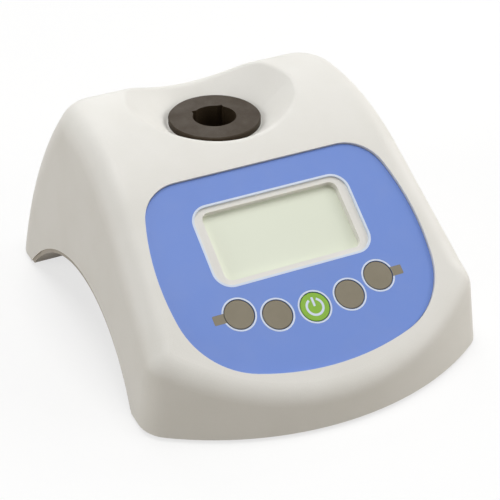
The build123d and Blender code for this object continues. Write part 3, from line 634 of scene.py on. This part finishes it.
def makeKeyRing(name):
    x, v = keyPlaces[name]
    ring = addDisc(keyHole + printing["ringGap"] + printing["ringWidth"], onPanel(x, v))
    openRing(ring, printing["ringWidth"])
    applyModifier(ring, "SOLIDIFY", thickness=printing["ink"] * mm, offset=1.0)
    if name.startswith("key_far"):
        side = -1 if x < 0 else 1
        deselectAll()
        bpy.ops.mesh.primitive_cube_add(size=1, location=onPanel(x + side * keyHole, v), rotation=panelTurn)
        notch = bpy.context.object
        notch.scale = (printing["notchReach"] * mm, printing["bandHeight"] * mm, printing["notchDepth"] * mm)
        bpy.context.view_layer.update()
        cutAway(ring, notch)
    return settlePiece(ring, name.replace("key_", "ring_"), "printPale", "housing")


def makeKeyBand(name):  # bare label strip that runs outwards from a key
    x, v = keyPlaces[name]
    side = -1 if x < 0 else 1
    middle = onPanel(x + side * printing["bandReach"] / 2, v)
    band = addPlate(printing["bandReach"], printing["bandHeight"], middle, printing["bandCorner"])
    applyModifier(band, "SOLIDIFY", thickness=printing["ink"] * mm, offset=1.0)
    cutAway(band, addHoleCutter(keyHole, onPanel(x, v)))
    return settlePiece(band, name.replace("key_", "band_"), "keyBrown", "housing")


for name in keyNames:
    makeKeyRing(name)
for name in ("key_far_left", "key_far_right"):
    makeKeyBand(name)


def makeDisplayLine():  # the pale line runs down over the film's cut edge too
    opening = displayOpening
    filmDepth = overlayLevel + faceLevel("keypad_overlay", -panelOut)
    wide = printing["lineWidth"]
    line = addPlate(opening["width"] + 2 * wide, opening["height"] + 2 * wide,
                    onPanel(0, opening["middle"], -filmDepth / mm), opening["corner"] + wide, segments=16)
    openRing(line, wide + printing["edgeCover"])
    applyModifier(line, "SOLIDIFY", thickness=filmDepth + printing["ink"] * mm, offset=1.0)
    return settlePiece(line, "display_line", "printPale", "housing")


makeDisplayLine()

# The power key's mark: a ring open at the top with a bar
powerMark = dict(radius=3.55, width=0.9, gapAngle=27.0, barWidth=0.9, barLow=0.2, barHigh=3.75, ink=0.03)
capLevel = (faceLevel("key_power", panelOut) - overlayLevel) / mm


def makePowerMark():
    ring = addDisc(powerMark["radius"], onPanel(0, 0, capLevel), vertices=120)
    openRing(ring, powerMark["width"])
    editPiece(ring)
    bpy.ops.mesh.select_all(action="DESELECT")
    stopEditing()
    for face in ring.data.polygons:
        turn = degrees(atan2(face.center.x, face.center.y))
        face.select = abs(turn) < powerMark["gapAngle"]
    editPiece(ring)
    bpy.ops.mesh.delete(type="FACE")
    stopEditing()
    applyModifier(ring, "SOLIDIFY", thickness=powerMark["ink"] * mm, offset=1.0)
    settlePiece(ring, "power_mark_ring", "printPale", "key_power_body")
    length = powerMark["barHigh"] - powerMark["barLow"]
    middle = onPanel(0, (powerMark["barLow"] + powerMark["barHigh"]) / 2, capLevel)
    bar = addPlate(powerMark["barWidth"], length, middle, powerMark["barWidth"] / 3)
    applyModifier(bar, "SOLIDIFY", thickness=powerMark["ink"] * mm, offset=1.0)
    settlePiece(bar, "power_mark_bar", "printPale", "key_power_body")


makePowerMark()
print("printing done")


# Floor, world and lamps
stageLook = dict(size=6.0, bounce=(187, 178, 164), white=(255, 255, 254), lift=0.7, world=0.12,
                 aimHeight=0.04)


def makeFloor():
    deselectAll()
    bpy.ops.mesh.primitive_plane_add(size=stageLook["size"], location=(0, 0, 0))
    floor = bpy.context.object
    floor.name = "floor"
    material = bpy.data.materials.new("paleFloor")
    material.use_nodes = True
    tree = material.node_tree
    tree.nodes.clear()
    output = addNode(tree, "OutputMaterial")
    bounce = addNode(tree, "BsdfDiffuse")
    bounce.inputs["Color"].default_value = screenColour(*stageLook["bounce"])
    seen = addNode(tree, "BsdfDiffuse")
    seen.inputs["Color"].default_value = screenColour(*stageLook["white"])
    glow = addNode(tree, "Emission")
    lifted = addNode(tree, "MixShader")
    lifted.inputs["Fac"].default_value = stageLook["lift"]
    tree.links.new(seen.outputs[0], lifted.inputs[1])
    tree.links.new(glow.outputs[0], lifted.inputs[2])
    choice = addNode(tree, "MixShader")
    tree.links.new(seenDirectly(tree), choice.inputs["Fac"])
    tree.links.new(bounce.outputs[0], choice.inputs[1])
    tree.links.new(lifted.outputs[0], choice.inputs[2])
    tree.links.new(choice.outputs[0], output.inputs["Surface"])
    floor.data.materials.append(material)


def seenDirectly(tree):  # camera, mirror and glass rays see the white stage
    path = addNode(tree, "LightPath")
    mirrored = addMath(tree, "MAXIMUM", path.outputs["Is Glossy Ray"], path.outputs["Is Transmission Ray"])
    return addMath(tree, "MAXIMUM", path.outputs["Is Camera Ray"], mirrored)


def makeWorld():
    world = bpy.data.worlds.new("studio")
    bpy.context.scene.world = world
    world.use_nodes = True
    tree = world.node_tree
    tree.nodes.clear()
    output = addNode(tree, "OutputWorld")
    soft = addNode(tree, "Background")
    soft.inputs["Color"].default_value = (1, 1, 1, 1)
    soft.inputs["Strength"].default_value = stageLook["world"]
    white = addNode(tree, "Background")
    white.inputs["Color"].default_value = (1, 1, 1, 1)
    white.inputs["Strength"].default_value = 1.0
    choice = addNode(tree, "MixShader")
    tree.links.new(seenDirectly(tree), choice.inputs["Fac"])
    tree.links.new(soft.outputs[0], choice.inputs[1])
    tree.links.new(white.outputs[0], choice.inputs[2])
    tree.links.new(choice.outputs[0], output.inputs["Surface"])


# Each lamp: where it stands, its side in metres and the light level it gives the roof
lamps = {
    "topLamp": dict(towards=(0, 0, 1), distance=1.4, side=0.9, level=0.55, colour=(1.0, 1.0, 1.0)),
    "rearLamp": dict(towards=(0.15, 1, 0.6), distance=1.4, side=0.8, level=0.2, colour=(1.0, 1.0, 1.0)),
    "rightLamp": dict(towards=(1, 0.1, 0.5), distance=1.4, side=0.8, level=0.26, colour=(1.0, 0.99, 0.98)),
    "frontLamp": dict(towards=(0.75, -0.6, 0.4), distance=1.4, side=0.8,
                      level=0.29, colour=(1.0, 0.99, 0.98)),
    "leftLamp": dict(towards=(-1, 0, 0.4), distance=1.4, side=0.8, level=0.31, colour=(1.0, 1.0, 1.0)),
}
aim = Vector((0, 0, stageLook["aimHeight"]))


def makeLamp(name, values):
    towards = Vector(values["towards"]).normalized()
    lamp = bpy.data.lights.new(name, "AREA")
    lamp.shape = "SQUARE"
    lamp.size = values["side"]
    lamp.color = values["colour"]
    lamp.energy = values["level"] * pi ** 2 * values["distance"] ** 2
    holder = bpy.data.objects.new(name, lamp)
    bpy.context.scene.collection.objects.link(holder)
    holder.location = aim + towards * values["distance"]
    holder.rotation_euler = towards.to_track_quat("Z", "Y").to_euler()


makeFloor()
makeWorld()
for name, values in lamps.items():
    makeLamp(name, values)

# The camera stands where the photograph was taken from
cameraPlace = dict(location=(-0.2301, -0.4702, 0.3603), pitch=90 - 32.69, turn=-26.24,
                   lens=116.6, sensor=36.0)
cameraData = bpy.data.cameras.new("camera")
cameraData.lens = cameraPlace["lens"]
cameraData.sensor_width = cameraPlace["sensor"]
camera = bpy.data.objects.new("camera", cameraData)
bpy.context.scene.collection.objects.link(camera)
camera.location = cameraPlace["location"]
camera.rotation_euler = (radians(cameraPlace["pitch"]), 0, radians(cameraPlace["turn"]))
bpy.context.scene.camera = camera
bpy.context.scene.view_settings.view_transform = "Standard"
print("stage and camera set")
